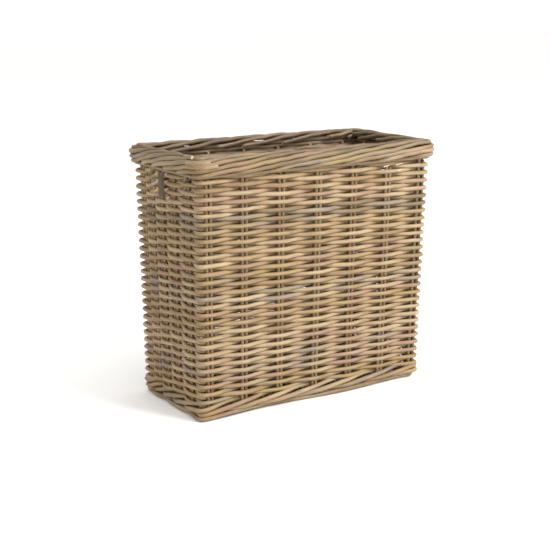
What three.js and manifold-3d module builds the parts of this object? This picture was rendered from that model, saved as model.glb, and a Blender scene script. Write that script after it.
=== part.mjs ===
// Rectangular log basket of round rattan cane, woven over and under pairs of upright stakes.
// Millimetres, +Z up. The origin is the middle of the footprint, on the surface that the basket stands on.
// The long sides face -Y (front) and +Y (back). Both ends have a hand-hole right under the border.
// Every piece is drawn upright on the plan of the foot and then flared, so that the walls lean outwards.
import * as THREE from 'three';
import { mergeVertices } from 'three/addons/utils/BufferGeometryUtils.js';
import Module from 'manifold-3d';

const wasm = await Module();
wasm.setup();

// Outside of the woven wall at the floor, and how far each wall leans out by the top.
const HEIGHT = 490;
const FOOT_LENGTH = 516;
const FOOT_DEPTH = 232;
const LEAN_OUT_X = 6.5;
const LEAN_OUT_Y = 13;
const CORNER_RADIUS = 19;
const INNER_RADIUS = 2;

// Cane sizes.
const STAKE_RADIUS = 3.5;
const STAKE_SPACING = 8.2;
const NECK_WIDTH = 2;
const WEAVER_DIAMETER = 7.5;
const WALL = 2 * STAKE_RADIUS + 2 * WEAVER_DIAMETER;
const BASE_STICK_RADIUS = 5;

// Heights of the parts of the wall.
const FOOT_TOP = 33;
const HOLE_BOTTOM = 404;
const BORDER_BOTTOM = 456;
const STAKE_BOTTOM = 10;
const STAKE_TOP = 470;

// Border and base.
const BORDER_PROUD = 9;
const BORDER_INWARD = 3;
const BORDER_ROUNDING = 8;
const BASE_BOTTOM = 12;
const BASE_TOP = 32;

// Where the stake pairs stand along each side: by X in the long sides, by Y in the ends.
const STAKES = {
  front: [-230, -157, -79, 2, 82, 162, 241],
  back: [-184, -105, -25, 55, 134, 214],
  left: [-66, -17, 27, 62.5, 92],
  right: [-58, -14, 30, 74],
};

// The hand-hole across each end, from its front edge to its back edge.
const HOLES = {
  left: [-2.5, 47.5],
  right: [1, 58.5],
};
const BASE_STICKS = [-76, -38, 0, 38, 76];

// Clearance between neighbouring solids.
const GAP = 0.3;

// Straight pieces in a quarter of a corner and of a stake.
const CORNER_STEPS = 5;
const STAKE_STEPS = 4;
const BORDER_STEPS = 3;

const HALF_LENGTH = FOOT_LENGTH / 2;
const HALF_DEPTH = FOOT_DEPTH / 2;
const INNER_LENGTH = HALF_LENGTH - WALL;
const INNER_DEPTH = HALF_DEPTH - WALL;

const strawCane = new THREE.MeshStandardMaterial({ color: 0xbfa27c, roughness: 0.6, metalness: 0 });
const stakeCane = new THREE.MeshStandardMaterial({ color: 0xcdb491, roughness: 0.55, metalness: 0 });
const borderCane = new THREE.MeshStandardMaterial({ color: 0x9c8466, roughness: 0.65, metalness: 0 });
const baseCane = new THREE.MeshStandardMaterial({ color: 0x937655, roughness: 0.7, metalness: 0 });

const basket = new THREE.Group();

// A closed three.js geometry as a solid that can be cut.
function solid(geometry) {
  const bare = geometry.index ? geometry.toNonIndexed() : geometry.clone();
  bare.deleteAttribute('normal');
  bare.deleteAttribute('uv');
  const merged = mergeVertices(bare, 1e-4);
  const vertProperties = new Float32Array(merged.attributes.position.array);
  const triVerts = new Uint32Array(merged.index.array);
  return new wasm.Manifold(new wasm.Mesh({ numProp: 3, vertProperties, triVerts }));
}

// Leans the walls out with height: wall thickness stays, and what lies between the walls spreads.
function flare(x, y, z) {
  const rise = z / HEIGHT;
  const spreadX = THREE.MathUtils.clamp(x / INNER_LENGTH, -1, 1);
  const spreadY = THREE.MathUtils.clamp(y / INNER_DEPTH, -1, 1);
  return [x + spreadX * LEAN_OUT_X * rise, y + spreadY * LEAN_OUT_Y * rise, z];
}

// Flares a finished solid and adds it to the basket under its name.
function add(name, piece, material) {
  const mesh = piece.getMesh();
  const positions = new Float32Array(mesh.numVert * 3);
  for (let i = 0; i < mesh.numVert; i += 1) {
    const at = i * mesh.numProp;
    const [x, y, z] = mesh.vertProperties.slice(at, at + 3);
    positions.set(flare(x, y, z), i * 3);
  }
  const geometry = new THREE.BufferGeometry();
  geometry.setAttribute('position', new THREE.BufferAttribute(positions, 3));
  geometry.setIndex(new THREE.BufferAttribute(new Uint32Array(mesh.triVerts), 1));
  geometry.computeVertexNormals();
  const node = new THREE.Mesh(geometry, material);
  node.name = name;
  basket.add(node);
}

// A rectangle with round corners, on the plan.
function roundedPlan(Shape, halfLength, halfDepth, radius) {
  const plan = new Shape();
  const x = halfLength - radius;
  const y = halfDepth - radius;
  plan.absarc(x, y, radius, 0, Math.PI / 2);
  plan.absarc(-x, y, radius, Math.PI / 2, Math.PI);
  plan.absarc(-x, -y, radius, Math.PI, 1.5 * Math.PI);
  plan.absarc(x, -y, radius, 1.5 * Math.PI, 2 * Math.PI);
  plan.closePath();
  return plan;
}

// A ring on the plan, from its outside to its inside, between two heights.
function ring(out, inward, bottom, top, rounding = 0) {
  const reach = out - rounding;
  const outer = roundedPlan(
    THREE.Shape,
    HALF_LENGTH + reach,
    HALF_DEPTH + reach,
    CORNER_RADIUS + reach,
  );
  const inner = roundedPlan(
    THREE.Path,
    INNER_LENGTH - inward + rounding,
    INNER_DEPTH - inward + rounding,
    INNER_RADIUS + rounding,
  );
  outer.holes.push(inner);
  const geometry = new THREE.ExtrudeGeometry(outer, {
    depth: top - bottom - 2 * rounding,
    curveSegments: CORNER_STEPS,
    bevelEnabled: rounding > 0,
    bevelSize: rounding,
    bevelThickness: rounding,
    bevelSegments: BORDER_STEPS,
  });
  geometry.translate(0, 0, bottom + rounding);
  return solid(geometry);
}

// A plain block between two corners, used to divide and cut.
function block(low, high) {
  const size = high.map((value, i) => value - low[i]);
  const geometry = new THREE.BoxGeometry(...size);
  geometry.translate(...high.map((value, i) => (value + low[i]) / 2));
  return solid(geometry);
}

// Two stakes side by side, joined by a narrow neck, as one outline. Clearance makes the channel for it.
function pairOutline(clearance) {
  const radius = STAKE_RADIUS + clearance;
  const offset = STAKE_SPACING / 2;
  const open = Math.asin((NECK_WIDTH / 2 + clearance) / radius);
  const outline = new THREE.Shape();
  outline.absarc(offset, 0, radius, -Math.PI + open, Math.PI - open);
  outline.absarc(-offset, 0, radius, open, 2 * Math.PI - open);
  outline.closePath();
  return outline;
}

// A stake pair standing at a place on the plan, or the channel that it needs.
function stakePair(x, y, alongY, clearance) {
  const bottom = STAKE_BOTTOM - clearance;
  const top = STAKE_TOP + clearance;
  const geometry = new THREE.ExtrudeGeometry(pairOutline(clearance), {
    depth: top - bottom,
    curveSegments: STAKE_STEPS,
    bevelEnabled: false,
  });
  geometry.rotateZ(alongY ? Math.PI / 2 : 0);
  geometry.translate(x, y, bottom);
  return solid(geometry);
}

// Every stake pair: its name and its place, in the middle of the wall's thickness.
function stakePlaces() {
  const sideY = HALF_DEPTH - WALL / 2;
  const endX = HALF_LENGTH - WALL / 2;
  const places = [];
  STAKES.front.forEach((x, i) => places.push([`stake_pair_front_${i + 1}`, x, -sideY, false]));
  STAKES.back.forEach((x, i) => places.push([`stake_pair_back_${i + 1}`, x, sideY, false]));
  STAKES.left.forEach((y, i) => places.push([`stake_pair_left_${i + 1}`, -endX, y, true]));
  STAKES.right.forEach((y, i) => places.push([`stake_pair_right_${i + 1}`, endX, y, true]));
  return places;
}

const PLACES = stakePlaces();
const CHANNELS = PLACES.map(([, x, y, alongY]) => stakePair(x, y, alongY, GAP));

// Removes the channels of all the stake pairs from a piece of the wall.
function channelled(piece) {
  return CHANNELS.reduce((left, channel) => left.subtract(channel), piece);
}

// The four sides of a ring: front and back run the whole length, and the ends fit between them.
function sides(whole, reach, inward) {
  const far = HALF_LENGTH + reach;
  const deep = HALF_DEPTH + reach;
  const seam = INNER_DEPTH - inward;
  const high = HEIGHT + 1;
  return {
    front: whole.intersect(block([-far, -deep, -1], [far, -seam, high])),
    back: whole.intersect(block([-far, seam, -1], [far, deep, high])),
    left: whole.intersect(block([-far, -seam + GAP, -1], [0, seam - GAP, high])),
    right: whole.intersect(block([0, -seam + GAP, -1], [far, seam - GAP, high])),
  };
}

function addStakes() {
  for (const [name, x, y, alongY] of PLACES) {
    add(name, stakePair(x, y, alongY, 0), stakeCane);
  }
}

// The lowest rounds of the wall, which the basket stands on. They hold the feet of the stakes.
function addFoot() {
  const parts = sides(channelled(ring(0, 0, 0, FOOT_TOP)), 1, 0);
  for (const [side, piece] of Object.entries(parts)) {
    add(`foot_wale_${side}`, piece, strawCane);
  }
}

// An end wall: the weave below the hand-hole, and a short field of weave on each side of the hole.
function addEndWeave(side, wall) {
  const far = HALF_LENGTH + 1;
  const above = HOLE_BOTTOM + GAP;
  const [holeFront, holeBack] = HOLES[side];
  const below = wall.intersect(block([-far, -HALF_DEPTH, 0], [far, HALF_DEPTH, HOLE_BOTTOM]));
  const nearer = wall.intersect(block([-far, -HALF_DEPTH, above], [far, holeFront, HEIGHT]));
  const further = wall.intersect(block([-far, holeBack, above], [far, HALF_DEPTH, HEIGHT]));
  add(`weave_${side}_below_hole`, below, strawCane);
  add(`weave_${side}_hole_front`, nearer, strawCane);
  add(`weave_${side}_hole_back`, further, strawCane);
}

function addWeave() {
  const whole = channelled(ring(0, 0, FOOT_TOP + GAP, BORDER_BOTTOM - GAP));
  const parts = sides(whole, 1, 0);
  add('weave_front', parts.front, strawCane);
  add('weave_back', parts.back, strawCane);
  addEndWeave('left', parts.left);
  addEndWeave('right', parts.right);
}

// The rolled border: the stakes' tops turn down and wind round each other along the rim.
function addBorder() {
  const whole = ring(BORDER_PROUD, BORDER_INWARD, BORDER_BOTTOM, HEIGHT, BORDER_ROUNDING);
  const parts = sides(channelled(whole), BORDER_PROUD + 1, BORDER_INWARD);
  for (const [side, piece] of Object.entries(parts)) {
    add(`border_${side}`, piece, borderCane);
  }
}

// A straight stick of the base, along the basket, or the channel that it needs.
function baseStick(y, clearance) {
  const length = 2 * (INNER_LENGTH - GAP) + 2 * clearance;
  const geometry = new THREE.CylinderGeometry(
    BASE_STICK_RADIUS + clearance,
    BASE_STICK_RADIUS + clearance,
    length,
    12,
  );
  geometry.rotateZ(Math.PI / 2);
  geometry.translate(0, y, (BASE_BOTTOM + BASE_TOP) / 2);
  return solid(geometry);
}

// The base: sticks along the basket, with the base weave over and under them.
function addBase() {
  const plan = roundedPlan(THREE.Shape, INNER_LENGTH - GAP, INNER_DEPTH - GAP, INNER_RADIUS);
  const slab = new THREE.ExtrudeGeometry(plan, {
    depth: BASE_TOP - BASE_BOTTOM,
    curveSegments: CORNER_STEPS,
    bevelEnabled: false,
  });
  slab.translate(0, 0, BASE_BOTTOM);
  let weave = solid(slab);
  BASE_STICKS.forEach((stickY, i) => {
    weave = weave.subtract(baseStick(stickY, GAP));
    add(`base_stick_${i + 1}`, baseStick(stickY, 0), baseCane);
  });
  add('base_weave', weave, baseCane);
}

addStakes();
addFoot();
addWeave();
addBorder();
addBase();

export default basket;
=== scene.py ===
"""Log basket of round rattan cane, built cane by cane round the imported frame.

Every cane is a tube along its real path. The stakes stand in pairs, the weavers pass in front of one pair
and behind the next, the stakes' tops wind along the rim as the border, and a wale runs round the foot.
Lengths are in millimetres until a mesh is made, and places come from the frame.
A place on the wall is how far round the wall it is, counted to the right as seen from outside, how far out
it is from the stakes' plane, and its height.
"""

import math

import bpy
import numpy as np
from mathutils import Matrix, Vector


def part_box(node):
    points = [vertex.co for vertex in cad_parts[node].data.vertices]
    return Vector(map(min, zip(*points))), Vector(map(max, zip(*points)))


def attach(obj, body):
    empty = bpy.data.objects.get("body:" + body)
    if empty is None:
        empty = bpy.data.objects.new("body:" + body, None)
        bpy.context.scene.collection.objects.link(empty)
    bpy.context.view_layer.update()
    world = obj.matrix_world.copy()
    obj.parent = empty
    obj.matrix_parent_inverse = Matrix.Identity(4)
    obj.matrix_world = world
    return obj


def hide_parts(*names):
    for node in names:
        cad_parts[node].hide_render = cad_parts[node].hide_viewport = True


bl_info = {
    "name": "Rattan Log Basket",
    "version": (1, 0, 0),
    "blender": (4, 5, 0),
    "location": "View3D > Sidebar > Basket",
    "description": "Builds a woven log basket round its packed frame",
    "category": "Object",
}

MM = 0.001
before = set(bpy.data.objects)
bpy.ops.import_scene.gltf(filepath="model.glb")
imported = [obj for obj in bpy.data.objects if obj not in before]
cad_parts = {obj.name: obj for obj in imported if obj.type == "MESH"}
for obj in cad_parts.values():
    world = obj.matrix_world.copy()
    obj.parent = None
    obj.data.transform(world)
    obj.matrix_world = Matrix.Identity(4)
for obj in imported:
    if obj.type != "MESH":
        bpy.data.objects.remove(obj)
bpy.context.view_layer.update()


# ----------------------------
# Measures of the wall, from the frame
# ----------------------------


def corners(node):
    """A frame node's lowest and highest corner, in millimetres."""
    return [np.array(corner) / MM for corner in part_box(node)]


def named(prefix):
    """The frame's nodes whose names start so."""
    return [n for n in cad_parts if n.startswith(prefix)]


FOOT_LOW, FOOT_HIGH = corners("foot_wale_front")
WEAVE_LOW, WEAVE_HIGH = corners("weave_front")
BORDER_LOW, BORDER_HIGH = corners("border_front")
HOLE_BOTTOM = corners("weave_left_below_hole")[1][2]
BASE_LOW, BASE_HIGH = corners("base_weave")

LEAN = np.array(
    [
        (WEAVE_HIGH[0] - FOOT_HIGH[0]) / (WEAVE_HIGH[2] - FOOT_HIGH[2]),
        (FOOT_LOW[1] - WEAVE_LOW[1]) / (WEAVE_HIGH[2] - FOOT_HIGH[2]),
    ]
)
HALF = np.array([FOOT_HIGH[0], -FOOT_LOW[1]]) - LEAN * FOOT_HIGH[2]
WALL = HALF[1] + FOOT_HIGH[1]
INNER = HALF - WALL
MIDDLE = HALF - WALL / 2

# Cane sizes. A weaver bends round a stake, so its middle line passes about one radius of each away from it.
STAKE_RADIUS = 3.5
STAKE_OFFSET = 4.1
WEAVER = 7.6
WEAVE_REACH = 7.2
# Between pairs a weaver runs nearly straight: 1 would be quite straight, with a kink at each pair.
WEAVE_STRAIGHTNESS = 0.93
# Where the rows are packed close, the weave reaches out less by this share.
CLOSE_TIGHTNESS = 0.07
# How much higher than wide a weaver is pressed between pairs, in front of one and behind one, where the rows
# lie loose and where they are packed close.
PRESSED_LOOSE = (1.05, 1.03, 1.32)
PRESSED_CLOSE = (1.1, 1.36, 1.73)
# The bend round the last stake before a hand-hole reaches this share of the weave's own reach. It turns this
# many degrees: half way round if the other weaver comes to meet it, farther if there is no other.
TURN_REACH = 0.75
SHARED_TURN = 90
LONE_TURN = 150
# A weaver starts this far below the foot's upper edge, and ends this far above the border's lower edge.
START_BELOW = 8
END_ABOVE = 3
# A weaver turns back at a hand-hole if its middle is more than this above the hole's lower edge.
HOLE_CLEARANCE = 2
# Where two canes are joined, each runs this far past the middle of the join.
JOIN_OVERLAP = 14
# The last join before the first hand-hole is this far from it.
JOIN_CLEARANCE = 380
# If less than this would be left up to that join, the cane before it runs on and takes it up.
SHORTEST_CANE = 700
# A weaver's first end goes in by this depth over this length.
TUCK_START_DEPTH, TUCK_START_LENGTH = 1.5, 20
# Its last end goes in by this depth over this bend, and the whole tuck has this length.
TUCK_END_DEPTH, TUCK_END_BEND, TUCK_END_LENGTH = 6.5, 30, 45
# The wall turns its corners on this radius, and stiff cane stands off it by the bulge.
CORNER_BEND = 12.0
CORNER_BULGE = 5.0
CORNER_POINTS = 19
# Distance between the rings of points along a tube, and points in a ring.
RING_STEP = 4.0
SIDES = 10
# A cane is out of round and knobbly by these shares of its radius.
OVALNESS = 0.035
KNOBBLINESS = 0.02
# The rounded lip of a cut end is this share of the radius, and no more than the second number.
LIP_SHARE, LIP_MOST = 0.25, 0.9
# A weaver's thickness changes by these shares over about these lengths.
SLOW_CHANGE, SLOW_LENGTH = 0.075, 1150
QUICK_CHANGE, QUICK_LENGTH = 0.03, 170
# How old the weavers look, where 0 is fresh and 1 quite grey, and how much darker they are painted where they
# pass inside the far walls, as painted shade.
WEAVER_AGE, INSIDE_PAINTED_SHADE = 0.1, 0.3
# Each group of canes, and each way in which the weavers vary, has its own run of seeds, which starts here.
SEEDS = {
    "slow thickness": 31,
    "quick thickness": 41,
    "weaver age": 51,
    "weaver height": 77,
    "weaver out": 87,
    "stakes": 1000,
    "weavers": 3000,
    "turned weavers": 4000,
    "weavers inside border": 5100,
    "paths inside border": 5200,
    "border": 6000,
    "wale": 7000,
    "foot rings": 7700,
    "base sticks": 8000,
    "base stick paths": 8100,
    "base weaver paths": 8200,
    "base weavers": 8300,
    "slivers": 9000,
    "cut ends": 9100,
}


def plan_loop():
    """The stakes' plane on the plan, from the front left: distance round, X, Y and the outward angle."""
    reach = MIDDLE - CORNER_BEND
    xs, ys, angles = [-reach[0]], [-MIDDLE[1]], [-math.pi / 2]
    for quarter, (side_x, side_y) in enumerate(((1, -1), (1, 1), (-1, 1), (-1, -1))):
        turn = np.linspace(0, math.pi / 2, CORNER_POINTS) + (quarter - 1) * math.pi / 2
        xs.extend(side_x * reach[0] + CORNER_BEND * np.cos(turn))
        ys.extend(side_y * reach[1] + CORNER_BEND * np.sin(turn))
        angles.extend(turn)
    xs, ys, angles = np.array(xs), np.array(ys), np.array(angles)
    round_it = np.concatenate([[0], np.cumsum(np.hypot(np.diff(xs), np.diff(ys)))])
    return round_it, xs, ys, angles


LOOP = plan_loop()
ROUND = LOOP[0][-1]


def lean(x, y, z):
    """Leans plan places out with height, as the frame does.

    Walls keep their thickness, and what is between them spreads.
    """
    spread_x = np.clip(x / INNER[0], -1, 1) * LEAN[0] * z
    spread_y = np.clip(y / INNER[1], -1, 1) * LEAN[1] * z
    return np.stack([x + spread_x, y + spread_y, np.broadcast_to(z, np.shape(x))], axis=-1)


def on_wall(along, out, height):
    """Points on the wall, from the distance round, the distance out of the stakes' plane and the height."""
    along, out, height = np.broadcast_arrays(along, out, height)
    x, y, angle = (np.interp(along % ROUND, LOOP[0], values) for values in LOOP[1:])
    # Stiff cane stands off a little where it goes round a corner.
    out = out + CORNER_BULGE * np.sin(2 * angle) ** 2
    return lean(x + out * np.cos(angle), y + out * np.sin(angle), height)


def station(node):
    """How far round the wall a stake pair of the frame stands."""
    points = np.array([v.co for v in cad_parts[node].data.vertices]) / MM
    foot = points[points[:, 2] < points[:, 2].min() + 1]
    x, y = (foot.min(0)[:2] + foot.max(0)[:2]) / 2
    steps = np.arange(0, ROUND, 0.5)
    loop = on_wall(steps, 0, 0)
    return steps[np.argmin(np.hypot(loop[:, 0] - x, loop[:, 1] - y))]


PAIRS = sorted(named("stake_pair_"), key=station)
STATIONS = np.array([station(n) for n in PAIRS])
COUNT = len(PAIRS)
WRAPS = np.arange(-2, 4)
ALL_STATIONS = np.concatenate([STATIONS + wrap * ROUND for wrap in WRAPS])
ALL_NUMBERS = np.concatenate([np.arange(COUNT) + wrap * COUNT for wrap in WRAPS])


def along_at(number):
    """The distance round at a stake pair's number. A part of a number is part of the way to the next pair."""
    return np.interp(number, ALL_NUMBERS, ALL_STATIONS)


def number_at(along):
    """The stake pair's number at a distance round, with the part of the way to the next pair."""
    return np.interp(along, ALL_STATIONS, ALL_NUMBERS)


def hole_edges(side):
    """The numbers of the two pairs that a hand-hole lies between, and that its weavers turn back round."""
    front_high = corners(f"weave_{side}_hole_front")[1][1]
    back_low = corners(f"weave_{side}_hole_back")[0][1]
    across = [n for n in range(COUNT) if PAIRS[n].startswith(f"stake_pair_{side}")]
    middle = {n: sum(c[1] for c in corners(PAIRS[n])) / 2 for n in across}
    before = max((n for n in across if middle[n] < front_high), key=middle.get)
    after = min((n for n in across if middle[n] > back_low), key=middle.get)
    return min(before, after), max(before, after)


HOLES = {side: hole_edges(side) for side in ("left", "right")}
# The pair that crosses each hand-hole stands next to the hole's first edge pair.
CROSSING = [low + 1 for low, _ in HOLES.values()]


# ----------------------------
# Canes as meshes
# ----------------------------


def wander(x, wavelength, seed):
    """A value that wanders smoothly between about -1 and 1 along x, and is the same on each run."""
    rng = np.random.default_rng(seed)
    total = np.zeros(np.shape(x))
    for octave in range(3):
        phase = rng.uniform(0, 2 * math.pi)
        stretch = rng.uniform(0.7, 1.4)
        total += np.sin(2 * math.pi * x * 2**octave * stretch / wavelength + phase) / 1.6**octave
    return total / 1.9


def smooth_path(keys, step, soften):
    """Samples of a path through keys (way, out, height), with its corners softened over some of the way."""
    keys = np.array(keys, float)
    way = np.arange(keys[0, 0], keys[-1, 0] + step / 2, step)
    half = max(1, round(soften / step / 2))
    kernel = np.hanning(2 * half + 3)[1:-1]
    kernel /= kernel.sum()
    curves = []
    for column in (1, 2):
        line = np.interp(way, keys[:, 0], keys[:, column])
        lead = line[0] - (line[1] - line[0]) * np.arange(half, 0, -1)
        tail = line[-1] + (line[-1] - line[-2]) * np.arange(1, half + 1)
        curves.append(np.convolve(np.concatenate([lead, line, tail]), kernel, "valid"))
    return way, curves[0], curves[1]


class Canes:
    """Tubes that make up one piece: each cane is added along its path, and build() makes the mesh."""

    def __init__(self, name):
        self.name = name
        self.points, self.grain, self.tone, self.age_and_shade = [], [], [], []
        self.loops, self.totals, self.kinds = [], [], []
        self.size = 0

    def add(self, path, radius, seed, age_and_shade=0.0, tall=1.0):
        """Adds a cane along path, an array of points, with its radius and its age and painted shade at each
        point or one for all.

        tall is how much higher than wide the cane is pressed.
        """
        path = np.asarray(path, float)
        tall = np.broadcast_to(tall, len(path)).astype(float)
        tall = np.concatenate([tall[:1], tall, tall[-1:]])
        radius = np.broadcast_to(radius, len(path)).astype(float)
        age_and_shade = np.broadcast_to(age_and_shade, len(path)).astype(float)
        rng = np.random.default_rng(seed)
        tangent = np.gradient(path, axis=0)
        tangent /= np.linalg.norm(tangent, axis=1)[:, None]
        # A short rounded lip at each end, so that the cut edge catches light.
        lip = np.minimum(radius[[0, -1]] * LIP_SHARE, LIP_MOST)
        path = np.vstack([path[:1] - tangent[:1] * lip[0], path, path[-1:] + tangent[-1:] * lip[1]])
        tangent = np.vstack([tangent[:1], tangent, tangent[-1:]])
        radius = np.concatenate([radius[:1] - lip[0], radius, radius[-1:] - lip[1]])
        age_and_shade = np.concatenate([age_and_shade[:1], age_and_shade, age_and_shade[-1:]])
        count = len(path)
        travelled = np.concatenate([[0], np.cumsum(np.linalg.norm(np.diff(path, axis=0), axis=1))])

        side = np.cross(tangent[0], (0.3, 0.2, 1.0))
        axes = np.empty((count, 3))
        for i in range(count):
            side = side - tangent[i] * side.dot(tangent[i])
            side /= np.linalg.norm(side)
            axes[i] = side
        other = np.cross(tangent, axes)
        turn = np.arange(SIDES) * 2 * math.pi / SIDES
        oval = 1 + OVALNESS * np.cos(2 * turn[None] + travelled[:, None] / 90 + rng.uniform(0, 6))
        knobbly = 1 + KNOBBLINESS * wander(travelled, 45, seed + 7)[:, None]
        reach = radius[:, None] * oval * knobbly
        across = reach * np.cos(turn)
        up = reach * np.sin(turn)
        ring = across[..., None] * axes[:, None] + up[..., None] * other[:, None]
        ring[..., 2] *= tall[:, None]
        self.points.append((path[:, None] + ring).reshape(-1, 3))
        lengthwise = np.broadcast_to(travelled[:, None] + rng.uniform(0, 9000), across.shape)
        self.grain.append(np.stack([lengthwise, across, up], axis=-1).reshape(-1, 3))
        self.tone.append(np.full(count * SIDES, rng.uniform(0, 1)))
        self.age_and_shade.append(np.repeat(age_and_shade, SIDES))

        ids = self.size + np.arange(count * SIDES).reshape(count, SIDES)
        nxt = np.roll(ids, -1, axis=1)
        quads = np.stack([ids[:-1], nxt[:-1], nxt[1:], ids[1:]], axis=-1).reshape(-1, 4)
        self.loops.extend([quads.ravel(), ids[0, ::-1], ids[-1]])
        self.totals.extend([np.full(len(quads), 4), [SIDES], [SIDES]])
        self.kinds.extend([np.zeros(len(quads), int), [1], [1]])
        self.size += count * SIDES

    def build(self, look, slot_name, nodes):
        """Makes the mesh object, with its finish and its cut ends, and ties it to the frame."""
        mesh = bpy.data.meshes.new(self.name)
        loops = np.concatenate(self.loops)
        totals = np.concatenate(self.totals)
        kinds = np.concatenate(self.kinds)
        mesh.vertices.add(self.size)
        mesh.vertices.foreach_set("co", (np.concatenate(self.points) * MM).ravel())
        mesh.loops.add(len(loops))
        mesh.loops.foreach_set("vertex_index", loops)
        mesh.polygons.add(len(totals))
        mesh.polygons.foreach_set("loop_start", np.concatenate([[0], np.cumsum(totals)[:-1]]))
        mesh.polygons.foreach_set("material_index", kinds)
        mesh.polygons.foreach_set("use_smooth", kinds == 0)
        for name, kind, values in (
            ("grain", "FLOAT_VECTOR", self.grain),
            ("tone", "FLOAT", self.tone),
            ("age_and_shade", "FLOAT", self.age_and_shade),
        ):
            field = "vector" if kind == "FLOAT_VECTOR" else "value"
            layer = mesh.attributes.new(name, kind, "POINT")
            layer.data.foreach_set(field, np.concatenate(values).astype(np.float32).ravel())
        mesh.materials.append(finish(look))
        mesh.materials.append(finish("cut"))
        mesh.update(calc_edges=True)
        if mesh.validate():
            raise RuntimeError(f"{self.name} came out with faults in its faces")
        piece = bpy.data.objects.new(self.name, mesh)
        bpy.context.scene.collection.objects.link(piece)
        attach(piece, "root")
        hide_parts(*nodes)
        return piece


# ----------------------------
# The rows of the wall weave
# ----------------------------

FOOT_TOP = FOOT_HIGH[2]
WEAVE_TOP = BORDER_LOW[2]
ROWS = 64
TABLE_STEPS = 241


def weaver_thickness(weaver, travelled):
    """How thick a weaver is, after a length of its way up the wall."""
    slow = SLOW_CHANGE * wander(travelled, SLOW_LENGTH, SEEDS["slow thickness"] + weaver)
    quick = QUICK_CHANGE * wander(travelled, QUICK_LENGTH, SEEDS["quick thickness"] + weaver)
    return WEAVER * (1 + slow + quick)


def weave_tables():
    """For each of the two weavers that chase each other up the wall: length travelled, height and thickness.

    They wind to the left as they rise, so a round of both together climbs two rows. Rows rest on each other.
    """
    along = np.linspace(0, ROUND, TABLE_STEPS)
    rows = np.arange(-2, ROWS)
    travelled = np.array([(row // 2) * ROUND + (ROUND - along) for row in rows])
    thick = np.array([weaver_thickness(row % 2, t) for row, t in zip(rows, travelled)])
    step_up = thick[2, -1] + thick[3, -1]
    base = FOOT_TOP + step_up * (1 - along / ROUND) - thick[0] - thick[1]
    height = base + np.cumsum(thick, axis=0) - thick / 2
    # The top row ends level under the border all the way round.
    top_row = np.interp(WEAVE_TOP, height[:, TABLE_STEPS // 2], rows) - 1 + 2 * along / ROUND
    level = np.array([np.interp(top_row[i], rows, height[:, i]) for i in range(TABLE_STEPS)])
    stretch = (WEAVE_TOP - FOOT_TOP) / (level - FOOT_TOP)
    height = FOOT_TOP + (height - FOOT_TOP) * stretch
    thick = thick * stretch
    tables = []
    for weaver in (0, 1):
        mine = rows % 2 == weaver
        joined = [values[mine][:, :0:-1].ravel() for values in (travelled, height, thick)]
        tables.append(joined)
    return tables


WEAVERS = weave_tables()


def weaver_height(weaver, travelled):
    return np.interp(travelled, WEAVERS[weaver][0], WEAVERS[weaver][1])


def weaver_out(weaver, travelled):
    """How far out of the stakes' plane a weaver is: in front of one pair, behind the next."""
    swing = np.cos(math.pi * (number_at((-travelled) % ROUND) + weaver))
    swing = np.arcsin(WEAVE_STRAIGHTNESS * swing) / math.asin(WEAVE_STRAIGHTNESS)
    return WEAVE_REACH * (1 - CLOSE_TIGHTNESS * packed_close(travelled)) * swing


def packed_close(travelled):
    """1 on the back and right walls, where the rows are packed closer than on the front and left ones."""
    number = number_at((-travelled) % ROUND)
    low, high = HOLES["right"][0] - 2, HOLES["left"][0] - 2
    return np.clip(number - low, 0, 1) * np.clip(high + 1 - number, 0, 1)


def pressed(travelled, out):
    """How much higher than wide a weaver is pressed. It is most where it passes behind a pair."""
    front = np.clip(out / WEAVE_REACH, 0, 1) ** 1.5
    behind = np.clip(-out / WEAVE_REACH, 0, 1) ** 1.5
    close = packed_close(travelled)
    between, at_front, at_back = (
        loose + close * (packed - loose) for loose, packed in zip(PRESSED_LOOSE, PRESSED_CLOSE)
    )
    return between + front * (at_front - between) + behind * (at_back - between)


def partner_height(weaver, edge, side):
    """How high the other weaver passes a hand-hole's edge pair, in the row that this one turns into."""
    partner_at = edge if side == "left" else edge + (ROUND if weaver else -ROUND)
    return weaver_height(1 - weaver, partner_at)


def beside_hole(height):
    """Whether a weaver at this height would cross the hand-holes."""
    return HOLE_BOTTOM + HOLE_CLEARANCE < height < WEAVE_TOP


def turn_back(weaver, edge, way, side, alone):
    """The bend of a weaver round the last stake before a hand-hole, into the row above or below.

    edge is the length travelled at the edge pair, and way is 1 where the weaver goes into the bend, -1 where
    it comes out of it. The other weaver makes the other half of the bend, unless this one bends alone.
    Returns length travelled, distance out and height.
    """
    own = weaver_height(weaver, edge)
    partner = partner_height(weaver, edge, side)
    turn = np.linspace(0, math.radians(LONE_TURN if alone else SHARED_TURN), 9)[1:]
    share = (1 - np.cos(2 * np.minimum(turn, math.pi / 2))) / 4
    travelled = edge + way * (STAKE_OFFSET + TURN_REACH * WEAVE_REACH * np.sin(turn))
    out = weaver_out(weaver, edge) * np.cos(turn)
    height = own + (partner - own) * share
    return travelled, out, height


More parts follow.
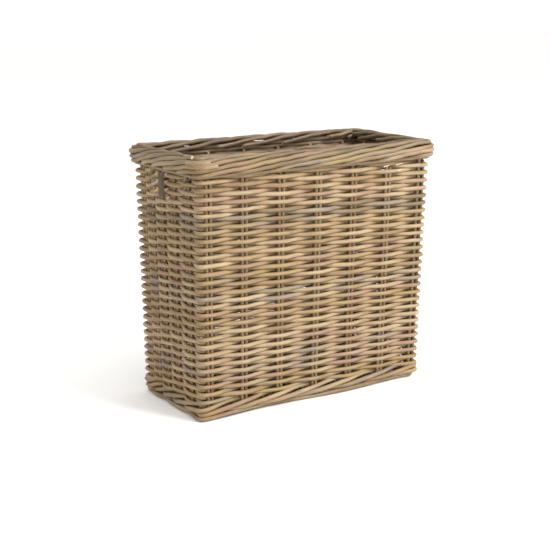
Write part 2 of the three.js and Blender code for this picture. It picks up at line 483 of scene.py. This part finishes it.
def weaver_path(weaver, start, end, turn_start=None, turn_end=None, tuck_start=False, tuck_end=False):
    """A weaver between two lengths travelled: its points, and radius, tallness, and age with painted shade at
    each.

    A turn is the pair (side, alone) of turn_back. A tucked end lies inside, where it was cut.
    """
    if turn_start:
        edge_start, start = start, start - STAKE_OFFSET
    if turn_end:
        edge_end, end = end, end + STAKE_OFFSET
    travelled = np.linspace(start, end, max(3, round((end - start) / RING_STEP)))
    out_drift = 0.3 * wander(travelled, 110, SEEDS["weaver out"] + weaver)
    height_drift = 0.25 * wander(travelled, 60, SEEDS["weaver height"] + weaver)
    out = weaver_out(weaver, travelled) + out_drift
    height = weaver_height(weaver, travelled) + height_drift
    if tuck_start:
        out -= TUCK_START_DEPTH * np.clip((start + TUCK_START_LENGTH - travelled) / TUCK_START_LENGTH, 0, 1)
    if tuck_end:
        out -= TUCK_END_DEPTH * np.clip((travelled - end + TUCK_END_LENGTH) / TUCK_END_BEND, 0, 1)
    if turn_start:
        bend = turn_back(weaver, edge_start, -1, *turn_start)
        travelled, out, height = (
            np.concatenate([part[::-1], line]) for part, line in zip(bend, (travelled, out, height))
        )
    if turn_end:
        bend = turn_back(weaver, edge_end, 1, *turn_end)
        travelled, out, height = (
            np.concatenate([line, part]) for part, line in zip(bend, (travelled, out, height))
        )
    radius = np.interp(travelled, WEAVERS[weaver][0], WEAVERS[weaver][2]) / 2
    age_and_shade = WEAVER_AGE + 0.12 * wander(travelled, 700, SEEDS["weaver age"] + weaver)
    # Painted shade: the weavers are darkened where they pass inside the back and right walls, behind the
    # stakes.
    age_and_shade = age_and_shade + INSIDE_PAINTED_SHADE * packed_close(travelled) * (out < 0)
    return on_wall(-travelled, out, height), radius, pressed(travelled, out), np.clip(age_and_shade, 0, 1)


def crossings(weaver):
    """Where a weaver meets the hand-holes: length travelled at the near and far edge pair, and the side."""
    found = []
    for turn in range(ROWS // 2):
        for side, (low, high) in HOLES.items():
            near = turn * ROUND + ROUND - along_at(high)
            far = turn * ROUND + ROUND - along_at(low)
            height = weaver_height(weaver, (near + far) / 2)
            if beside_hole(height):
                found.append((near, far, side))
    return sorted(found)


def behind_near(weaver, travelled):
    """The place nearest to a length travelled where the weaver is right behind a stake pair."""
    turn = travelled // ROUND
    number = number_at(ROUND - travelled % ROUND)
    behind = round((number + weaver - 1) / 2) * 2 + 1 - weaver
    return turn * ROUND + ROUND - along_at(behind)


def limits(weaver):
    """The length travelled where a weaver comes out of the foot, and where it ends under the border."""
    travelled, height, thick = WEAVERS[weaver]
    start = travelled[np.argmax(height > FOOT_TOP - START_BELOW)]
    end = travelled[np.argmax(height + thick / 2 > WEAVE_TOP + END_ABOVE)]
    return start, end


# ----------------------------
# Finishes
# ----------------------------


def linear(hex_colour):
    """An sRGB hex value as linear red, green, blue and alpha."""
    channels = [int(hex_colour[i : i + 2], 16) / 255 for i in (1, 3, 5)]
    return tuple(c / 12.92 if c <= 0.04045 else ((c + 0.055) / 1.055) ** 2.4 for c in channels) + (1.0,)


def add_node(tree, kind, links=(), **settings):
    """Adds a node, and links (input, output) pairs to it.

    A setting that names one of the node's own values sets that, and any other setting an input.
    """
    node = tree.nodes.new(kind)
    for key, value in settings.items():
        if hasattr(node, key):
            setattr(node, key, value)
        else:
            node.inputs[key.replace("_", " ")].default_value = value
    for name, output in links:
        tree.links.new(output, node.inputs[name])
    return node


def ramp(tree, stops, factor):
    """A colour ramp through (place, colour) stops. A colour is sRGB hex, or linear with alpha."""
    node = add_node(tree, "ShaderNodeValToRGB", links=[("Fac", factor)])
    band = node.color_ramp
    while len(band.elements) < len(stops):
        band.elements.new(0.5)
    for element, (place, colour) in zip(band.elements, stops):
        element.position = place
        element.color = linear(colour) if isinstance(colour, str) else colour
    return node.outputs["Color"]


def attribute(tree, name, output):
    """A value that each point of a cane has."""
    return add_node(tree, "ShaderNodeAttribute", attribute_name=name).outputs[output]


def add_bump(tree, shader, height, strength, depth):
    """Gives the surface relief from a height value. The depth is in millimetres."""
    bump = add_node(
        tree, "ShaderNodeBump", links=[("Height", height)], Strength=strength, Distance=depth * MM
    )
    tree.links.new(bump.outputs["Normal"], shader.inputs["Normal"])


def new_material(name):
    material = bpy.data.materials.new(name)
    material.use_nodes = True
    tree = material.node_tree
    return material, tree, tree.nodes["Principled BSDF"]


# How strongly the fibres and the stains show.
STREAK_SHARE = 0.55
STAIN_SHARE = 0.45
STAIN_COLOUR = "#6b5238"


def peeled_rattan(name, tones, old, roughness):
    """Round rattan core, sanded and left dry.

    No two canes have the same colour, and each drifts along its length. Long fibres run down it as fine
    streaks, darker stains come and go, and the dry surface has only a soft, broad shine. Old cane goes grey
    and dark, and the same mix paints shade where canes pass inside the walls, across the hand-holes and
    inside the border.
    """
    material, tree, shader = new_material(name)
    grain = attribute(tree, "grain", "Vector")
    tone = attribute(tree, "tone", "Fac")
    age_and_shade = attribute(tree, "age_and_shade", "Fac")

    def noise(lengthwise, across, detail, rough):
        """Noise drawn out along the cane. Both sizes are in millimetres."""
        place = add_node(tree, "ShaderNodeVectorMath", operation="MULTIPLY", links=[(0, grain)])
        place.inputs[1].default_value = (1 / lengthwise, 1 / across, 1 / across)
        return add_node(
            tree,
            "ShaderNodeTexNoise",
            links=[("Vector", place.outputs[0])],
            Scale=1.0,
            Detail=detail,
            Roughness=rough,
        ).outputs["Fac"]

    def math_node(operation, first, second, third=None):
        node = add_node(tree, "ShaderNodeMath", operation=operation)
        for i, value in enumerate((first, second, third)):
            if isinstance(value, bpy.types.NodeSocket):
                tree.links.new(value, node.inputs[i])
            elif value is not None:
                node.inputs[i].default_value = value
        return node.outputs[0]

    drift = noise(120, 30, 2, 0.5)
    # Real fibres are about 0.3 mm wide. They are drawn 0.9 mm wide, so that they show.
    fibre = noise(26, 0.9, 3, 0.6)
    stain = noise(22, 5, 3, 0.6)

    place = math_node("MULTIPLY_ADD", drift, 0.7, -0.35)
    place = math_node("ADD", place, tone)
    fresh = ramp(tree, tones, place)
    streak = ramp(tree, ((0.25, "#8f8478"), (0.5, "#d9d4cc"), (0.75, "#ffffff")), fibre)
    streaked = add_node(
        tree, "ShaderNodeMix", data_type="RGBA", blend_type="MULTIPLY", links=[(6, fresh), (7, streak)]
    )
    streaked.inputs[0].default_value = STREAK_SHARE
    stains = ramp(tree, ((0.56, "#000000"), (0.72, "#ffffff")), stain)
    stain_share = math_node("MULTIPLY", stains, STAIN_SHARE)
    stained = add_node(
        tree, "ShaderNodeMix", data_type="RGBA", links=[(0, stain_share), (6, streaked.outputs[2])]
    )
    stained.inputs[7].default_value = linear(STAIN_COLOUR)
    # The age value mixes in the weathered colour: for old cane, and as painted shade where canes pass inside
    # the walls, across the hand-holes and inside the border.
    aged_and_shaded = add_node(tree, "ShaderNodeMix", data_type="RGBA", links=[(0, age_and_shade), (6, stained.outputs[2])])
    weathered = ramp(tree, old, math_node("MULTIPLY_ADD", fibre, 0.6, math_node("MULTIPLY", tone, 0.4)))
    tree.links.new(weathered, aged_and_shaded.inputs[7])
    tree.links.new(aged_and_shaded.outputs[2], shader.inputs["Base Color"])

    shine = math_node("MULTIPLY_ADD", fibre, 0.2, roughness - 0.1)
    tree.links.new(shine, shader.inputs["Roughness"])
    shader.inputs["IOR"].default_value = 1.5
    add_bump(tree, shader, math_node("MULTIPLY_ADD", stain, 0.6, fibre), strength=0.5, depth=0.35)
    return material


def cut_rattan():
    """A knife-cut end of cane: pale dry pith with open pores and a darker skin, quite matt."""
    material, tree, shader = new_material("cut_rattan_pith")
    grain = attribute(tree, "grain", "Vector")
    pores = add_node(
        tree, "ShaderNodeTexVoronoi", links=[("Vector", grain)], Scale=1.6, Randomness=1.0
    ).outputs["Distance"]
    colour = ramp(tree, ((0.1, "#6b563b"), (0.35, "#b39d7a"), (0.7, "#cfc0a2")), pores)
    tree.links.new(colour, shader.inputs["Base Color"])
    shader.inputs["Roughness"].default_value = 0.8
    add_bump(tree, shader, pores, strength=0.4, depth=0.3)
    return material


STRAW_TONES = (
    (0.0, "#846d4b"),
    (0.18, "#a88e67"),
    (0.34, "#92754f"),
    (0.5, "#b6a07d"),
    (0.64, "#9c7a63"),
    (0.78, "#a08a55"),
    (0.9, "#897d71"),
    (1.0, "#aa926e"),
)
GREY_TONES = (
    (0.0, "#695943"),
    (0.2, "#806c4f"),
    (0.4, "#5d4f3c"),
    (0.55, "#8e7a5e"),
    (0.7, "#6e5f51"),
    (0.85, "#756b40"),
    (1.0, "#796855"),
)
SPLINTER_TONES = ((0.0, "#d8c8a6"), (1.0, "#e6dabd"))

# Old cane: place in the grain, and brightness as a share of the weathered colour.
WEATHERED_SHARES = ((0.2, 0.4), (0.5, 1.0), (0.8, 2.3))
# Each look's material, tones and roughness.
LOOKS = {
    "weaver": ("dry_peeled_rattan_weavers", STRAW_TONES, 0.55),
    "stake": ("dry_peeled_rattan_stakes", STRAW_TONES, 0.5),
    "border": ("dry_peeled_rattan_border", STRAW_TONES, 0.55),
    "foot": ("dry_peeled_rattan_foot", STRAW_TONES, 0.6),
    "base": ("weathered_rattan_base", GREY_TONES, 0.65),
    "splinter": ("pale_rattan_splinters", SPLINTER_TONES, 0.7),
}

FINISHES = {}


def finish(name):
    """The finish of a group of canes, made when it is first asked for."""
    if name not in FINISHES:
        if name == "cut":
            FINISHES[name] = cut_rattan()
        else:
            old = Vector(bpy.context.scene.basket.weathered_colour)
            weathered = [(place, (*(old * share), 1.0)) for place, share in WEATHERED_SHARES]
            title, tones, roughness = LOOKS[name]
            FINISHES[name] = peeled_rattan(title, tones, weathered, roughness)
    return FINISHES[name]


# ----------------------------
# Operators, one for each group of pieces. Each class has the table of numbers that it uses above it.
# ----------------------------


class BasketSettings(bpy.types.PropertyGroup):
    """What a user would change about the basket."""

    border_thickness: bpy.props.FloatProperty(
        name="Border cane",
        description="Thickness of the border canes",
        default=0.0088,
        min=0.005,
        max=0.01,
        unit="LENGTH",
        precision=4,
    )
    foot_thickness: bpy.props.FloatProperty(
        name="Foot cane",
        description="Thickness of the foot's canes",
        default=0.0084,
        min=0.005,
        max=0.009,
        unit="LENGTH",
        precision=4,
    )
    base_stick_thickness: bpy.props.FloatProperty(
        name="Base stick",
        description="Thickness of the sticks in the base",
        default=0.009,
        min=0.005,
        max=0.01,
        unit="LENGTH",
        precision=4,
    )
    base_weaver_thickness: bpy.props.FloatProperty(
        name="Base weaver",
        description="Thickness of the canes woven through the base",
        default=0.0064,
        min=0.004,
        max=0.0066,
        unit="LENGTH",
        precision=4,
    )
    cane_length: bpy.props.FloatProperty(
        name="Cane length",
        description="Usual length of a weaver before it is joined",
        default=2.9,
        min=0.9,
        unit="LENGTH",
    )
    weathered_colour: bpy.props.FloatVectorProperty(
        name="Weathered cane",
        description="Colour that old, exposed cane goes",
        default=linear("#57462f")[:3],
        subtype="COLOR",
        size=3,
        min=0,
        max=1,
    )
    floor_colour: bpy.props.FloatVectorProperty(
        name="Floor",
        description="Colour of the studio floor",
        default=linear("#fbfaf8")[:3],
        subtype="COLOR",
        size=3,
        min=0,
        max=1,
    )
    seed: bpy.props.IntProperty(
        name="Seed",
        description="Changes the colours and thicknesses of the canes",
        default=5,
        min=0,
    )


# A right-hand stake goes on as a border cane, and stops this far below the border's lower edge. The other
# stops inside the border, this far below its own top in the frame.
JOINED_STAKE_BELOW = 4
PLAIN_STAKE_BELOW = 2
STAKE_STEP = 6.0
STAKE_AGE = 0.1
# The stakes that cross a hand-hole are painted dark there, as painted shade inside the hole.
HOLE_STAKE_PAINTED_SHADE = 1.0


class BASKET_OT_stakes(bpy.types.Operator):
    """Two round stakes for each pair, from the foot to the border"""

    bl_idname = "basket.stakes"
    bl_label = "Stakes"

    def execute(self, context):
        seed = context.scene.basket.seed
        for number, node in enumerate(PAIRS):
            low, high = corners(node)
            pair = Canes(node.replace("stake_pair", "stakes"))
            for which, offset in enumerate((-STAKE_OFFSET, STAKE_OFFSET)):
                key = SEEDS["stakes"] + 10 * number + which + seed
                top = WEAVE_TOP - JOINED_STAKE_BELOW if which else high[2] - PLAIN_STAKE_BELOW
                height = np.arange(low[2], top, STAKE_STEP)
                wobble = 0.5 * wander(height, 160, key)
                along = STATIONS[number] + offset + wobble
                path = on_wall(along, 0.3 * wander(height, 90, key + 3), height)
                radius = STAKE_RADIUS * (1 + 0.03 * wander(height, 70, key + 5))
                # Painted shade on the stakes inside the hand-hole.
                in_hole_shade = (number in CROSSING) & (height > HOLE_BOTTOM)
                pair.add(path, radius, key, np.where(in_hole_shade, HOLE_STAKE_PAINTED_SHADE, STAKE_AGE))
            pair.build("stake", "stake_cane", [node])
        return {"FINISHED"}


class BASKET_OT_weavers(bpy.types.Operator):
    """The weavers of the wall below the hand-holes, joined end to end"""

    bl_idname = "basket.weavers"
    bl_label = "Weavers"

    def execute(self, context):
        settings = context.scene.basket
        rng = np.random.default_rng(settings.seed)
        made = 0
        for weaver in (0, 1):
            start, _ = limits(weaver)
            first = True
            last = crossings(weaver)[0][0]
            stop = behind_near(weaver, last - JOIN_CLEARANCE)
            while start < stop:
                length = settings.cane_length / MM * rng.uniform(0.75, 1.2)
                end = behind_near(weaver, start + length)
                end = stop if end > stop - SHORTEST_CANE else end
                made += 1
                piece = Canes(f"weaver_{made:02d}")
                path, radius, tall, age_and_shade = weaver_path(
                    weaver,
                    start - (0 if first else JOIN_OVERLAP),
                    end + JOIN_OVERLAP,
                    tuck_start=not first,
                    tuck_end=True,
                )
                piece.add(path, radius, SEEDS["weavers"] + made, age_and_shade, tall)
                piece.build("weaver", "weaver_cane", named("weave_"))
                start, first = end, False
        return {"FINISHED"}


# The last weavers run once round in front of the stakes, hidden inside the border.
# Each has a distance out and a height below the rim's top.
LAST_ROUNDS = ((7.4, -31.5), (7.4, -23.5), (7.0, -15.0))
LAST_RADIUS = 4.2
# They are painted dark, as painted shade inside the border.
LAST_PAINTED_SHADE = 0.8
# Each begins this much farther round than the one before.
LAST_START = 300


class BASKET_OT_last_weavers(bpy.types.Operator):
    """The weavers that run round inside the border and fill it"""

    bl_idname = "basket.last_weavers"
    bl_label = "Weavers inside the border"

    def execute(self, context):
        last = Canes("weavers_inside_border")
        for number, (out, below) in enumerate(LAST_ROUNDS):
            along = np.arange(0, ROUND + RING_STEP, RING_STEP) + LAST_START * number
            drift = 0.4 * wander(along, 200, SEEDS["paths inside border"] + number)
            path = on_wall(along, out, BORDER_HIGH[2] + below + drift)
            # Painted dark, as painted shade inside the border.
            last.add(path, LAST_RADIUS, SEEDS["weavers inside border"] + number, LAST_PAINTED_SHADE)
        last.build("border", "weaver_cane", named("weave_"))
        return {"FINISHED"}


# A cane that would run on less than this from a hand-hole to the border is left out.
SHORTEST_END = 60


class BASKET_OT_hole_weavers(bpy.types.Operator):
    """The weavers between the hand-holes, which turn back round the pairs at the holes' edges"""

    bl_idname = "basket.hole_weavers"
    bl_label = "Weavers at the hand-holes"

    def execute(self, context):
        pieces = {}
        for weaver in (0, 1):
            gaps = crossings(weaver)
            _, top = limits(weaver)
            start_gap = None
            for gap in [*gaps, None]:
                start = start_gap[1] if start_gap else behind_near(weaver, gaps[0][0] - JOIN_CLEARANCE)
                end = gap[0] if gap else top
                if start_gap and gap:
                    middle = behind_near(weaver, (start + end) / 2)
                    self.add_half(pieces, weaver, start, middle + JOIN_OVERLAP, start_gap[2], None)
                    self.add_half(pieces, weaver, middle - JOIN_OVERLAP, end, None, gap[2])
                elif gap:
                    self.add_half(pieces, weaver, start - JOIN_OVERLAP, end, None, gap[2])
                elif end > start + SHORTEST_END:
                    self.add_half(pieces, weaver, start, end, start_gap[2], None)
                start_gap = gap
        for piece in pieces.values():
            piece.build("weaver", "weaver_cane", named("weave_"))
        return {"FINISHED"}

    def add_half(self, pieces, weaver, start, end, side_start, side_end):
        """Adds a weaver from one hand-hole's edge to a join, or from a join to an edge."""
        side = side_start or side_end
        edge = start if side_start else end
        turn_number = int(edge // ROUND)
        # The two halves of a bend are one cane, so they share a key, and with it a colour.
        pair_number = turn_number if side == "left" else turn_number + weaver
        where = "front" if (side == "left") == bool(side_end) else "back"
        key = SEEDS["turned weavers"] + 20 * pair_number
        key += (5 if side == "left" else 0) + (10 if where == "front" else 0)
        alone = not beside_hole(partner_height(weaver, edge, side))
        path, radius, tall, age_and_shade = weaver_path(
            weaver,
            start,
            end,
            turn_start=(side, alone) if side_start else None,
            turn_end=(side, alone) if side_end else None,
            tuck_start=not side_start,
            tuck_end=not side_end,
        )
        name = f"turned_weavers_{side}_{where}"
        pieces.setdefault(name, Canes(name)).add(path, radius, key, age_and_shade, tall)


# A border cane's way, from its stake along the rim: pairs passed, distance out, height below the rim's top.
# It passes behind one pair, comes out, climbs in front of three, rolls over the rim and ends cut off inside.
BORDER_WAY = (
    (0.0, 0.0, -46),
    (0.1, -1.5, -36),
    (0.5, -6.5, -31.5),
    (1.0, -9.0, -30.5),
    (1.4, -1.0, -31.5),
    (1.75, 10.5, -28.5),
    (2.0, 14.0, -26),
    (2.5, 16.0, -22),
    (3.0, 16.5, -18.5),
    (4.0, 16.5, -10),
    (4.6, 13.5, -5),
    (5.4, 6.5, -1.5),
    (6.1, -0.5, -0.5),
    (6.8, -7.0, -4),
    (7.4, -11.0, -10),
    (8.2, -13.0, -17),
)
# It is cut off after about this many pairs, give or take the spread.
BORDER_CUT = 7.8
BORDER_CUT_SPREAD = 0.35
# How old it looks after each number of pairs. Behind its first pair it is painted dark, as painted shade
# inside the border; from the rim's top on it darkens, partly as greyer old tips and partly as painted shade
# on the rim's inner side.
BORDER_AGE_AND_SHADE = ((0, 0.8), (1.3, 0.8), (2.0, 0.27), (3.8, 0.4), (4.8, 0.72), (6, 0.82))


class BASKET_OT_border(bpy.types.Operator):
    """The stakes' tops, turned down and wound along the rim"""

    bl_idname = "basket.border"
    bl_label = "Border"

    def execute(self, context):
        settings = context.scene.basket
        nodes = named("border_")
        for number in range(COUNT):
            key = SEEDS["border"] + number * 11 + settings.seed
            rng = np.random.default_rng(key)
            way, out, below = smooth_path(BORDER_WAY, 0.05, 0.3)
            kept = way <= BORDER_CUT + rng.uniform(-BORDER_CUT_SPREAD, BORDER_CUT_SPREAD)
            way, out, below = way[kept], out[kept], below[kept]
            along = along_at(number + way) + STAKE_OFFSET * np.clip(1 - way, 0, 1)
            out = out + 1.1 * wander(along, 130, key)
            height = BORDER_HIGH[2] + below + 1.3 * wander(along, 170, key + 1)
            path = on_wall(along, out, height)
            # A cane tapers a little from its foot to its tip.
            taper = 1.02 + 0.09 * wander(along, 300, key + 2) - 0.02 * way
            radius = settings.border_thickness / MM / 2 * taper
            # Painted shade behind the first pair and on the rim's inner side, with greyer old tips, from the
            # table above.
            age_and_shade = np.interp(way, *zip(*BORDER_AGE_AND_SHADE)) + 0.15 * wander(along, 150, key + 3)
            cane = Canes(f"border_cane_{number + 1:02d}")
            cane.add(path, radius, key, np.clip(age_and_shade, 0, 1))
            cane.build("border", "border_cane", nodes)
        return {"FINISHED"}


# A wale cane's way round the foot: pairs passed, distance out, height. It lies in front of two pairs.
WALE_WAY = (
    (0.0, -7.5, 15.0),
    (0.5, 0.0, 13.0),
    (1.0, 8.3, 15.0),
    (1.5, 9.2, 20.5),
    (2.0, 8.3, 26.0),
    (2.5, 0.0, 30.0),
    (3.0, -7.5, 28.0),
)
# The two canes under the wale twist round each other, once in four pairs. They lie this far out, and this far
# above the floor where they are lowest.
RING_OUT, RING_CLEAR = 2.5, 0.2
# How far they swing to each side and up.
RING_SWING, RING_RISE = 4.6, 1.6
# The ends of each overlap by this, and the second begins this much farther round.
RING_OVERLAP = 30
RING_START = 700


class BASKET_OT_foot(bpy.types.Operator):
    """The wale round the foot, and the two twisted canes that the basket stands on"""

    bl_idname = "basket.foot"
    bl_label = "Foot"

    def execute(self, context):
        settings = context.scene.basket
        nodes = named("foot_wale_")
        wale = Canes("foot_wale")
        for number in range(COUNT):
            key = SEEDS["wale"] + number * 13 + settings.seed
            way, out, height = smooth_path(WALE_WAY, 0.06, 0.4)
            along = along_at(number + way)
            out = out + 0.3 * wander(along, 90, key)
            path = on_wall(along, out, height + 0.5 * wander(along, 120, key + 1))
            radius = settings.foot_thickness / MM / 2 * (1 + 0.05 * wander(along, 200, key + 2))
            wale.add(path, radius, key, 0.15 + 0.1 * wander(along, 200, key + 3))
        wale.build("foot", "foot_cane", nodes)
        for which in (0, 1):
            key = SEEDS["foot rings"] + which
            ring = Canes(f"foot_ring_{which + 1}")
            along = np.arange(0, ROUND + RING_OVERLAP, RING_STEP) + RING_START * which
            twist = math.pi * (number_at(along) * 0.5 + which)
            radius = settings.foot_thickness / MM / 2 * (1 + 0.03 * wander(along, 200, key))
            height = radius + RING_CLEAR + RING_RISE * (1 + np.sin(twist))
            path = on_wall(along, RING_OUT + RING_SWING * np.cos(twist), height)
            ring.add(path, radius, key, 0.3 + 0.15 * wander(along, 200, key + 3))
            ring.build("foot", "foot_cane", nodes)
        return {"FINISHED"}


STICK_STEP = 8.0
STICK_AGE = 0.5
# Distance between the canes woven through the base, as a share of their thickness.
BASE_PITCH = 1.02
BASE_WEAVER_AGE = 0.55


class BASKET_OT_base(bpy.types.Operator):
    """The sticks of the base, and the canes woven over and under them"""

    bl_idname = "basket.base"
    bl_label = "Base"

    def execute(self, context):
        thick = context.scene.basket.base_stick_thickness / MM
        thin = context.scene.basket.base_weaver_thickness / MM
        sticks = sorted(named("base_stick_"))
        places = []
        for number, node in enumerate(sticks):
            low, high = corners(node)
            middle = (low + high) / 2
            places.append(middle[1])
            x = np.arange(low[0], high[0], STICK_STEP)
            y = middle[1] + 0.8 * wander(x, 200, SEEDS["base stick paths"] + number)
            path = np.stack([x, y, np.full(len(x), middle[2])], axis=-1)
            stick = Canes(node.replace("stick", "cane"))
            stick.add(path, thick / 2, SEEDS["base sticks"] + number, STICK_AGE)
            stick.build("base", "base_cane", [node])
        weave = Canes("base_weavers")
        reach = (thick + thin) / 2
        level = (BASE_LOW[2] + BASE_HIGH[2]) / 2
        y = np.arange(BASE_LOW[1], BASE_HIGH[1], RING_STEP)
        step = places[1] - places[0]
        for row, middle in enumerate(np.arange(BASE_LOW[0] + 4, BASE_HIGH[0] - 3, thin * BASE_PITCH)):
            swing = reach * np.cos(math.pi * ((y - places[0]) / step + row))
            x = middle + 0.5 * wander(y, 90, SEEDS["base weaver paths"] + row)
            path = np.stack([x, y, level + swing], axis=-1)
            weave.add(path, thin / 2, SEEDS["base weavers"] + row, BASE_WEAVER_AGE)
        weave.build("base", "base_cane", ["base_weave"])
        return {"FINISHED"}


# Slivers on the front: pairs passed from the front left corner, height, length and half thickness.
SLIVERS = ((4.82, 447.0, 12, 1.1), (5.2, 448.5, 15, 1.1), (5.22, 437.0, 9, 1.0))
# Cut ends laid over the border at the front left corner, where the last canes were tucked in: pairs passed,
# distance out, and height below the rim's top.
CUT_ENDS = ((-0.42, 9.0, -1.0), (-0.1, 17.5, -8.5), (0.12, 19.0, -15.0))
CUT_END_LENGTH = 34
CUT_END_RADIUS = 3.9
CUT_END_AGE = 0.35


class BASKET_OT_splinters(bpy.types.Operator):
    """Pale slivers under the border, and cut ends laid over it"""

    bl_idname = "basket.splinters"
    bl_label = "Splinters"

    def execute(self, context):
        slivers = Canes("weaver_splinters")
        for key, (number, height, length, radius) in enumerate(SLIVERS):
            t = np.linspace(0, 1, 5)
            path = on_wall(along_at(number) + length * (t - 0.5), 12.2 + 1.2 * t, height + 2.2 * t)
            slivers.add(path, radius * (1 - 0.35 * t), SEEDS["slivers"] + key, 0.0)
        slivers.build("splinter", "weaver_cane", [])
        ends = Canes("weaver_cut_ends")
        for key, (number, out, below) in enumerate(CUT_ENDS):
            t = np.linspace(0, 1, 7)
            along = along_at(number) - CUT_END_LENGTH * (1 - t)
            path = on_wall(along, out - 7 * (1 - t) ** 2, BORDER_HIGH[2] + below + 3.0 * t)
            ends.add(path, CUT_END_RADIUS, SEEDS["cut ends"] + key, CUT_END_AGE)
        ends.build("border", "border_cane", [])
        return {"FINISHED"}


# Each light's name, place and size in metres, and power in watts.
LIGHTS = (("key_light", (1.6, -2.6, 2.6), 1.6, 155), ("top_light", (0.2, -0.4, 3.2), 2.0, 20))
LIGHTS_AIM = Vector((0, 0, 0.25))
WORLD_STRENGTH = 1.04
FLOOR_SIZE = 30
# The camera's direction in degrees and its distance in metres from a point beside the basket's middle.
AZIMUTH, ELEVATION, DISTANCE = -32.53, 13.38, 2.3347
AIM_SHIFT = (-0.0172, -0.0186, 0)
SENSOR_WIDTH, LENS = 36, 76.8


class BASKET_OT_stage(bpy.types.Operator):
    """Pale floor, soft studio light and the camera"""

    bl_idname = "basket.stage"
    bl_label = "Stage"

    def execute(self, context):
        scene = context.scene
        bpy.ops.mesh.primitive_plane_add(size=FLOOR_SIZE, location=(0, 0, 0))
        floor = context.object
        floor.name = "studio_floor"
        material, _, shader = new_material("pale_studio_floor")
        shader.inputs["Base Color"].default_value = (*scene.basket.floor_colour, 1.0)
        shader.inputs["Roughness"].default_value = 0.9
        floor.data.materials.append(material)

        world = bpy.data.worlds.new("studio")
        world.use_nodes = True
        background = world.node_tree.nodes["Background"]
        background.inputs["Color"].default_value = (1, 1, 1, 1)
        background.inputs["Strength"].default_value = WORLD_STRENGTH
        scene.world = world
        for name, place, size, power in LIGHTS:
            lamp = bpy.data.lights.new(name, "AREA")
            lamp.size = size
            lamp.energy = power
            light = bpy.data.objects.new(name, lamp)
            light.location = place
            light.rotation_euler = (LIGHTS_AIM - Vector(place)).to_track_quat("-Z", "Y").to_euler()
            scene.collection.objects.link(light)

        camera = bpy.data.cameras.new("camera")
        camera.sensor_width = SENSOR_WIDTH
        camera.lens = LENS
        view = bpy.data.objects.new("camera", camera)
        azimuth, elevation = math.radians(AZIMUTH), math.radians(ELEVATION)
        back = Vector(
            (
                math.sin(azimuth) * math.cos(elevation),
                -math.cos(azimuth) * math.cos(elevation),
                math.sin(elevation),
            )
        )
        view.rotation_euler = back.to_track_quat("Z", "Y").to_euler()
        turn = view.rotation_euler.to_matrix()
        middle = Vector((0, 0, BORDER_HIGH[2] * MM / 2))
        aim = middle + turn @ Vector(AIM_SHIFT)
        view.location = aim + back * DISTANCE
        scene.collection.objects.link(view)
        scene.camera = view
        scene.view_settings.view_transform = "Standard"
        return {"FINISHED"}


class BASKET_PT_panel(bpy.types.Panel):
    """Lists the parts of the basket"""

    bl_label = "Log Basket"
    bl_space_type = "VIEW_3D"
    bl_region_type = "UI"
    bl_category = "Basket"

    def draw(self, context):
        layout = self.layout
        settings = context.scene.basket
        for name in BasketSettings.__annotations__:
            layout.prop(settings, name)
        for operator in STEPS:
            layout.operator(operator.bl_idname)


STEPS = (
    BASKET_OT_stage,
    BASKET_OT_stakes,
    BASKET_OT_weavers,
    BASKET_OT_hole_weavers,
    BASKET_OT_last_weavers,
    BASKET_OT_border,
    BASKET_OT_foot,
    BASKET_OT_base,
    BASKET_OT_splinters,
)
CLASSES = (BasketSettings, *STEPS, BASKET_PT_panel)


def register():
    for item in CLASSES:
        bpy.utils.register_class(item)
    bpy.types.Scene.basket = bpy.props.PointerProperty(type=BasketSettings)


def unregister():
    del bpy.types.Scene.basket
    for item in reversed(CLASSES):
        bpy.utils.unregister_class(item)


def main():
    register()
    for operator in STEPS:
        group, name = operator.bl_idname.split(".")
        getattr(getattr(bpy.ops, group), name)()


if __name__ == "__main__":
    main()
